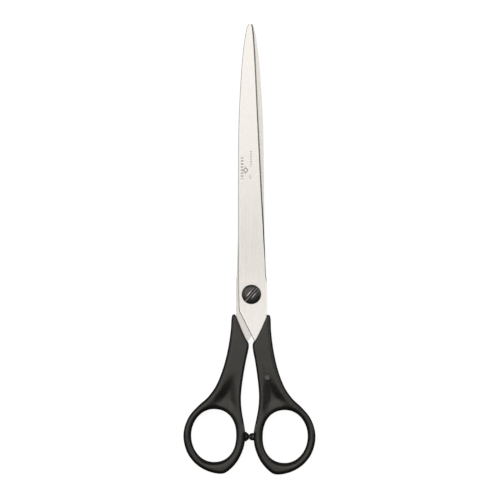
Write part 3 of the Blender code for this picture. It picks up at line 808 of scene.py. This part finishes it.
def coordinates(tree, space="Object"):
    """X, Y and Z of the shaded point."""
    return node(tree, "ShaderNodeSeparateXYZ", {0: node(tree, "ShaderNodeTexCoord").outputs[space]}).outputs


def distance(tree, x, y):
    """How far x and y are from nought."""
    squares = maths(tree, "ADD", maths(tree, "MULTIPLY", x, x), maths(tree, "MULTIPLY", y, y))
    return maths(tree, "SQRT", squares)


def ramp(tree, value, start, end, first=0.0, last=1.0):
    """Goes evenly from first to last while the value goes from start to end, and no further."""
    return node(tree, "ShaderNodeMapRange", {"Value": value, "From Min": start, "From Max": end,
                                             "To Min": first, "To Max": last}).outputs[0]


def scaled_noise(tree, scale, detail=3.0, roughness=0.5):
    """Noise whose cells are 1 / scale metres, or along each axis 1 / its own scale."""
    place = node(tree, "ShaderNodeTexCoord").outputs["Object"]
    scales = scale if isinstance(scale, tuple) else (scale, scale, scale)
    stretched = node(tree, "ShaderNodeMapping", {"Vector": place, "Scale": scales}).outputs[0]
    return node(tree, "ShaderNodeTexNoise", {"Vector": stretched, "Scale": 1.0, "Detail": detail,
                                             "Roughness": roughness}).outputs[0]


def spread(tree, value, low, high):
    """Noise turned into a value from low to high."""
    return ramp(tree, value, *NOISE_SPAN, low, high)


def bumped(tree, height, strength, depth, below=None):
    """A bumpy normal, on top of another one if that is given."""
    inputs = {"Height": height, "Strength": strength, "Distance": depth}
    if below is not None:
        inputs["Normal"] = below
    return node(tree, "ShaderNodeBump", inputs).outputs[0]


def new_material(name, metallic, specular=0.5):
    made = bpy.data.materials.new(name)
    made.use_nodes = True
    shader = made.node_tree.nodes["Principled BSDF"]
    shader.inputs["Metallic"].default_value = metallic
    shader.inputs["Specular IOR Level"].default_value = specular
    return made, made.node_tree, shader


def surface(tree, shader, colour, roughness, normal):
    """Links what varies over a surface to its shader."""
    tree.links.new(colour, shader.inputs["Base Color"])
    tree.links.new(roughness, shader.inputs["Roughness"])
    tree.links.new(normal, shader.inputs["Normal"])


def steel(name, colour, rough, streaks, etched=False):
    """Brushed stainless steel, its streaks along Y or along X."""
    made, tree, shader = new_material(name, 1.0)
    fine, broad = STREAKS[streaks]
    hairlines = scaled_noise(tree, fine, 4.0, 0.6)
    bands = scaled_noise(tree, broad, 2.0)
    tint = mixed(tree, spread(tree, bands, 0, 1), [c * BAND_SHADE for c in colour], colour)
    banded = spread(tree, bands, rough - BAND_ROUGHNESS, rough + BAND_ROUGHNESS)
    lined = spread(tree, hairlines, -HAIRLINE_ROUGHNESS, HAIRLINE_ROUGHNESS)
    roughness = maths(tree, "ADD", lined, banded)
    if etched:
        mask = etched_mark(tree)
        tint = mixed(tree, maths(tree, "MULTIPLY", mask, ETCHED_COVER), tint, ETCHED_STEEL)
        roughness = maths(tree, "MULTIPLY_ADD", mask, ETCHED_ROUGHNESS, roughness)
    surface(tree, shader, tint, roughness, bumped(tree, hairlines, *HAIRLINE_BUMP))
    return made


def etched_mark(tree):
    """Where a plain mark is etched: a ring between two dots, two columns of fine ticks and a faint patch."""
    x, y, _ = coordinates(tree)

    def band(value, centre, half, blur=ETCHED_BLUR):
        """1 where a value in metres is within half of the centre, both in millimetres, with blurred edges."""
        away = maths(tree, "ABSOLUTE", maths(tree, "SUBTRACT", value, centre * MM))
        return ramp(tree, away, (half - blur / 2) * MM, (half + blur / 2) * MM, 1.0, 0.0)

    def bar(centre, half_size):
        return maths(tree, "MULTIPLY", band(x, centre[0], half_size[0]), band(y, centre[1], half_size[1]))

    def ticks(x_middle, half_width, low, high, pitch):
        """A column of short level bars."""
        saw = maths(tree, "PINGPONG", maths(tree, "SUBTRACT", y, low * MM), pitch * MM / 2)
        column = bar((x_middle, (low + high) / 2), (half_width, (high - low) / 2))
        return maths(tree, "MULTIPLY", band(saw, 0, pitch * TICK_SHARE, TICK_BLUR), column)

    from_ring = distance(tree, *(maths(tree, "SUBTRACT", value, middle * MM)
                                 for value, middle in zip((x, y), ETCHED_RING)))
    total = band(from_ring, ETCHED_RING_RADIUS, ETCHED_RING_LINE)
    shapes = [bar(dot, ETCHED_DOT_SIZE) for dot in ETCHED_DOTS]
    shapes += [ticks(*column) for column in ETCHED_TICKS]
    shapes.append(maths(tree, "MULTIPLY", bar(ETCHED_PATCH, ETCHED_PATCH_SIZE), ETCHED_PATCH_SHARE))
    for shape in shapes:
        total = maths(tree, "MAXIMUM", total, shape)
    worn = spread(tree, scaled_noise(tree, ETCHED_WEAR, 2.0), ETCHED_LEAST, 1.0)
    return maths(tree, "MULTIPLY", total, worn)


def moulded_plastic(name, colours):
    """Black nylon with a fine spark-eroded grain, a little lighter and smoother on its proud edges."""
    made, tree, shader = new_material(name, 0.0)
    shader.inputs["Specular Tint"].default_value = (*NYLON_GLOSS, 1)
    cloud = scaled_noise(tree, NYLON_CLOUD)
    grain = scaled_noise(tree, NYLON_GRAIN, 2.0, 0.6)
    pebble = scaled_noise(tree, NYLON_PEBBLE, 2.0)
    speckle = spread(tree, scaled_noise(tree, NYLON_SPECKLE, 3.0, 0.7), 0, 1)
    proud = ramp(tree, node(tree, "ShaderNodeNewGeometry").outputs["Pointiness"], *PROUD_EDGES)
    mottle = maths(tree, "ADD", spread(tree, cloud, -CLOUD_SHADE, CLOUD_SHADE), speckle, clamp=True)
    lightened = maths(tree, "MULTIPLY", proud, EDGE_COVER)
    tint = mixed(tree, lightened, mixed(tree, mottle, *colours), NYLON_EDGES)
    clouded = spread(tree, cloud, -CLOUD_ROUGHNESS, CLOUD_ROUGHNESS)
    rough = maths(tree, "ADD", spread(tree, grain, *GRAIN_ROUGHNESS), clouded)
    rough = maths(tree, "MULTIPLY_ADD", speckle, SPECKLE_ROUGHNESS, rough)
    rough = maths(tree, "MULTIPLY_ADD", proud, -EDGE_SMOOTHING, rough)
    normal = bumped(tree, grain, *GRAIN_BUMP, bumped(tree, pebble, *PEBBLE_BUMP))
    surface(tree, shader, tint, rough, normal)
    return made


def slot_highlights(tree, across, along):
    """How bright the painted highlights are in the strips beside the slot."""
    low, high = HIGHLIGHT_STRIPS
    middle, width = (low + high) / 2, high - low
    from_strip = maths(tree, "ABSOLUTE", maths(tree, "SUBTRACT", maths(tree, "ABSOLUTE", across), middle))
    strip = ramp(tree, from_strip, width / 3, width / 1.5, 1.0, 0.0)
    patchy = spread(tree, scaled_noise(tree, OXIDE_BLOTCH), PATCHY_LEAST, 1.0)
    shifted = maths(tree, "MULTIPLY_ADD", maths(tree, "SIGN", across), HIGHLIGHT_SHIFT, along)
    mostly = ramp(tree, maths(tree, "ABSOLUTE", shifted), *HIGHLIGHT_LENGTH, 1.0, HIGHLIGHT_AT_ENDS)
    return maths(tree, "MULTIPLY", maths(tree, "MULTIPLY", strip, patchy), mostly)


def black_oxide(name):
    """Blackened steel with the faint rings left by turning, with painted highlights beside the slot, painted
    light on its floor and painted shadow along the foot of its walls.
    """
    made, tree, shader = new_material(name, OXIDE_METALLIC)
    x, y, _ = coordinates(tree)
    rings = maths(tree, "SINE", maths(tree, "MULTIPLY", distance(tree, x, y), 2 * math.pi / TURNING_PITCH))
    blotch = scaled_noise(tree, OXIDE_BLOTCH)
    cos, sin = math.cos(SLOT_ANGLE), math.sin(SLOT_ANGLE)
    across = maths(tree, "SUBTRACT", maths(tree, "MULTIPLY", y, cos), maths(tree, "MULTIPLY", x, sin))
    along = maths(tree, "ADD", maths(tree, "MULTIPLY", x, cos), maths(tree, "MULTIPLY", y, sin))
    from_slot = maths(tree, "ABSOLUTE", across)
    from_corner = maths(tree, "ABSOLUTE", maths(tree, "SUBTRACT", from_slot, SLOT_CORNER))
    tint = mixed(tree, spread(tree, blotch, 0, 1), *OXIDE)
    # painted light on the slot's floor
    tint = mixed(tree, ramp(tree, from_slot, *LIT_SLOT_FLOOR, SLOT_LIGHT_COVER, 0.0), tint, OXIDE_LIT_FLOOR)
    # painted shadow along the foot of the slot's walls
    tint = mixed(tree, ramp(tree, from_corner, *SHADE_FADE, SHADE_COVER, 0.0), tint, OXIDE_SHADE)
    # painted highlights in the strips beside the slot
    tint = mixed(tree, slot_highlights(tree, across, along), tint, OXIDE_HIGHLIGHT)
    surface(tree, shader, tint, spread(tree, blotch, *OXIDE_ROUGHNESS), bumped(tree, rings, *TURNING_BUMP))
    return made


def rubber(name, specular, rough):
    """Black rubber, dusty where the two stops meet."""
    made, tree, shader = new_material(name, 0.0, specular)
    cloud = scaled_noise(tree, RUBBER_CLOUD)
    x, _, _ = coordinates(tree)
    from_meeting = maths(tree, "ABSOLUTE", maths(tree, "ADD", x, STOP_MEETING))
    dusty = ramp(tree, from_meeting, *DUST_REACH, DUST_ROUGHNESS, 0.0)
    clouded = spread(tree, cloud, rough, rough + RUBBER_SPREAD)
    roughness = maths(tree, "ADD", clouded, dusty, clamp=True)
    tint = mixed(tree, spread(tree, cloud, 0, 1), *RUBBER)
    surface(tree, shader, tint, roughness, bumped(tree, cloud, *RUBBER_BUMP))
    return made


# ---------------------------------------------------------------- floor, light and camera

def floor(height):
    """A wide sheet of pale paper, which neither lights the shears nor shows in their steel."""
    mesh = bmesh.new()
    bmesh.ops.create_grid(mesh, x_segments=FLOOR_SQUARES, y_segments=FLOOR_SQUARES, size=FLOOR_REACH)
    bmesh.ops.translate(mesh, vec=(0, 0, height), verts=mesh.verts)
    made = object_of("floor", mesh)
    paper, tree, shader = new_material("lit_paper", 0.0, PAPER_SPECULAR)
    grain = scaled_noise(tree, PAPER_GRAIN)
    tree.links.new(mixed(tree, spread(tree, grain, 0, 1), *PAPER), shader.inputs["Base Color"])
    shader.inputs["Roughness"].default_value = PAPER_ROUGHNESS
    shader.inputs["Emission Color"].default_value = (*WHITE, 1)
    shader.inputs["Emission Strength"].default_value = FLOOR_GLOW
    made.data.materials.append(paper)
    made.visible_diffuse = False
    made.visible_glossy = False


def soft_box(name, place, size, power, colour, towards):
    data = bpy.data.lights.new(name, "AREA")
    data.shape, data.size, data.size_y = "RECTANGLE", *size
    data.energy, data.color = power, colour
    made = bpy.data.objects.new(name, data)
    made.location = place
    made.rotation_euler = (Vector(towards) - Vector(place)).to_track_quat("-Z", "Y").to_euler()
    bpy.context.scene.collection.objects.link(made)


def studio():
    """A grey world, brightest overhead and darker on the near side, and the soft boxes."""
    world = bpy.data.worlds.new("studio")
    world.use_nodes = True
    tree = world.node_tree
    background = tree.nodes["Background"]
    background.inputs["Color"].default_value = (*WHITE, 1)
    _, y, z = coordinates(tree, "Generated")
    up = ramp(tree, z, *LEVEL_TO_SKY, HORIZON, SKY)
    below = ramp(tree, z, *BELOW_TO_LEVEL, BELOW / HORIZON, 1.0)
    ahead = ramp(tree, y, *NEAR_TO_FAR, NEAR_SHARE, 1.0)
    strength = maths(tree, "MULTIPLY", maths(tree, "MULTIPLY", up, below), ahead)
    tree.links.new(strength, background.inputs["Strength"])
    bpy.context.scene.world = world
    for box in SOFT_BOXES:
        soft_box(*box)
    bpy.context.scene.view_settings.view_transform = "Standard"
    bpy.context.scene.view_settings.look = "None"


def camera(height):
    """Looks straight down from CAMERA_HEIGHT over the given height."""
    data = bpy.data.cameras.new("camera")
    data.lens = data.sensor_width * CAMERA_HEIGHT / FIELD_WIDTH
    data.clip_start, data.clip_end = CLIP
    made = bpy.data.objects.new("camera", data)
    made.location = (*VIEW_CENTRE, height + CAMERA_HEIGHT)
    made.rotation_euler = (0, 0, CAMERA_ROLL)
    bpy.context.scene.collection.objects.link(made)
    bpy.context.scene.camera = made


# ---------------------------------------------------------------- assembly

def sizes(frame):
    """What the CAD's boxes say, measured from the middle plane."""
    pivot = next(j for j in frame["joints"] if j["name"] == "blade_pivot")
    middle = pivot["pos_m"][2]
    blade_low, blade_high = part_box("front_blade")
    screw_low, screw_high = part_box("pivot_screw")
    _, washer_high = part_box("pivot_washer")
    handle_low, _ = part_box("right_handle")
    return {
        "middle": middle,
        "gap": 2 * (blade_low.z - middle),
        "blade": blade_high.z - blade_low.z,
        "tip_y": blade_high.y,
        "handle": middle - handle_low.z,
        "head": (screw_high.x - screw_low.x) / 2,
        "head_top": screw_high.z - middle,
        "head_low": washer_high.z - middle + HEAD_REST,
        "pin_end": screw_low.z - middle,
    }


def finish_piece(piece, place, body, node_name, materials):
    """Puts a piece in place, gives it its looks and lets it stand for its CAD node."""
    piece.data.transform(place)
    for made in materials:
        piece.data.materials.append(made)
    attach(piece, body)
    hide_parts(node_name)


def main():
    for old in list(bpy.data.objects):
        bpy.data.objects.remove(old)
    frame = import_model()
    cad_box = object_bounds()
    size = sizes(frame)

    plain_steel = steel("outer_steel", *FACE_STEEL, "Y")
    marked_steel = steel("marked_steel", *FACE_STEEL, "Y", etched=True)
    ground_steel = steel("ground_steel", *GROUND_STEEL, "X")
    inner_steel = steel("inner_steel", *INNER_STEEL, "X")
    washer_steel = steel("washer_steel", *WASHER_STEEL, "X")
    nylon = moulded_plastic("black_nylon", NYLON)
    # the same nylon made lighter, as a painted highlight on the moulded mark
    painted_highlight_nylon = moulded_plastic("painted_highlight_nylon", PAINTED_HIGHLIGHT_NYLON)
    worn_rubber = rubber("worn_rubber", *WORN_RUBBER)
    dull_rubber = rubber("dull_rubber", *DULL_RUBBER)

    front = Matrix.Translation((0, 0, size["middle"]))
    back = front @ Matrix.Rotation(math.pi, 4, "Y")
    halves = (("front", "right", front, -HANDLE_LEAN, marked_steel, worn_rubber),
              ("back", "left", back, HANDLE_LEAN, plain_steel, dull_rubber))
    for half, side, place, lean, face_steel, stop_rubber in halves:
        body = half + "_half"
        made = blade(half + "_blade_fine", lean, size)
        finish_piece(made, place, body, half + "_blade",
                     [face_steel, ground_steel, inner_steel])
        made = handle(side + "_handle_fine", lean, size, side == "right")
        finish_piece(made, place, body, side + "_handle", [nylon, painted_highlight_nylon])
        made = stop(side, lean)
        finish_piece(made, place, body, side + "_stop", [stop_rubber])
    finish_piece(pivot_screw(size), front, "screw", "pivot_screw",
                 [black_oxide("black_oxide")])
    for name in ("pivot_washer", "pivot_nut"):
        looks = frame["nodes"][name].data.materials
        looks.clear()
        looks.append(washer_steel)

    floor(cad_box[0].z - FLOOR_DROP)
    studio()
    camera(size["middle"] + size["gap"] / 2 + size["blade"])


main()
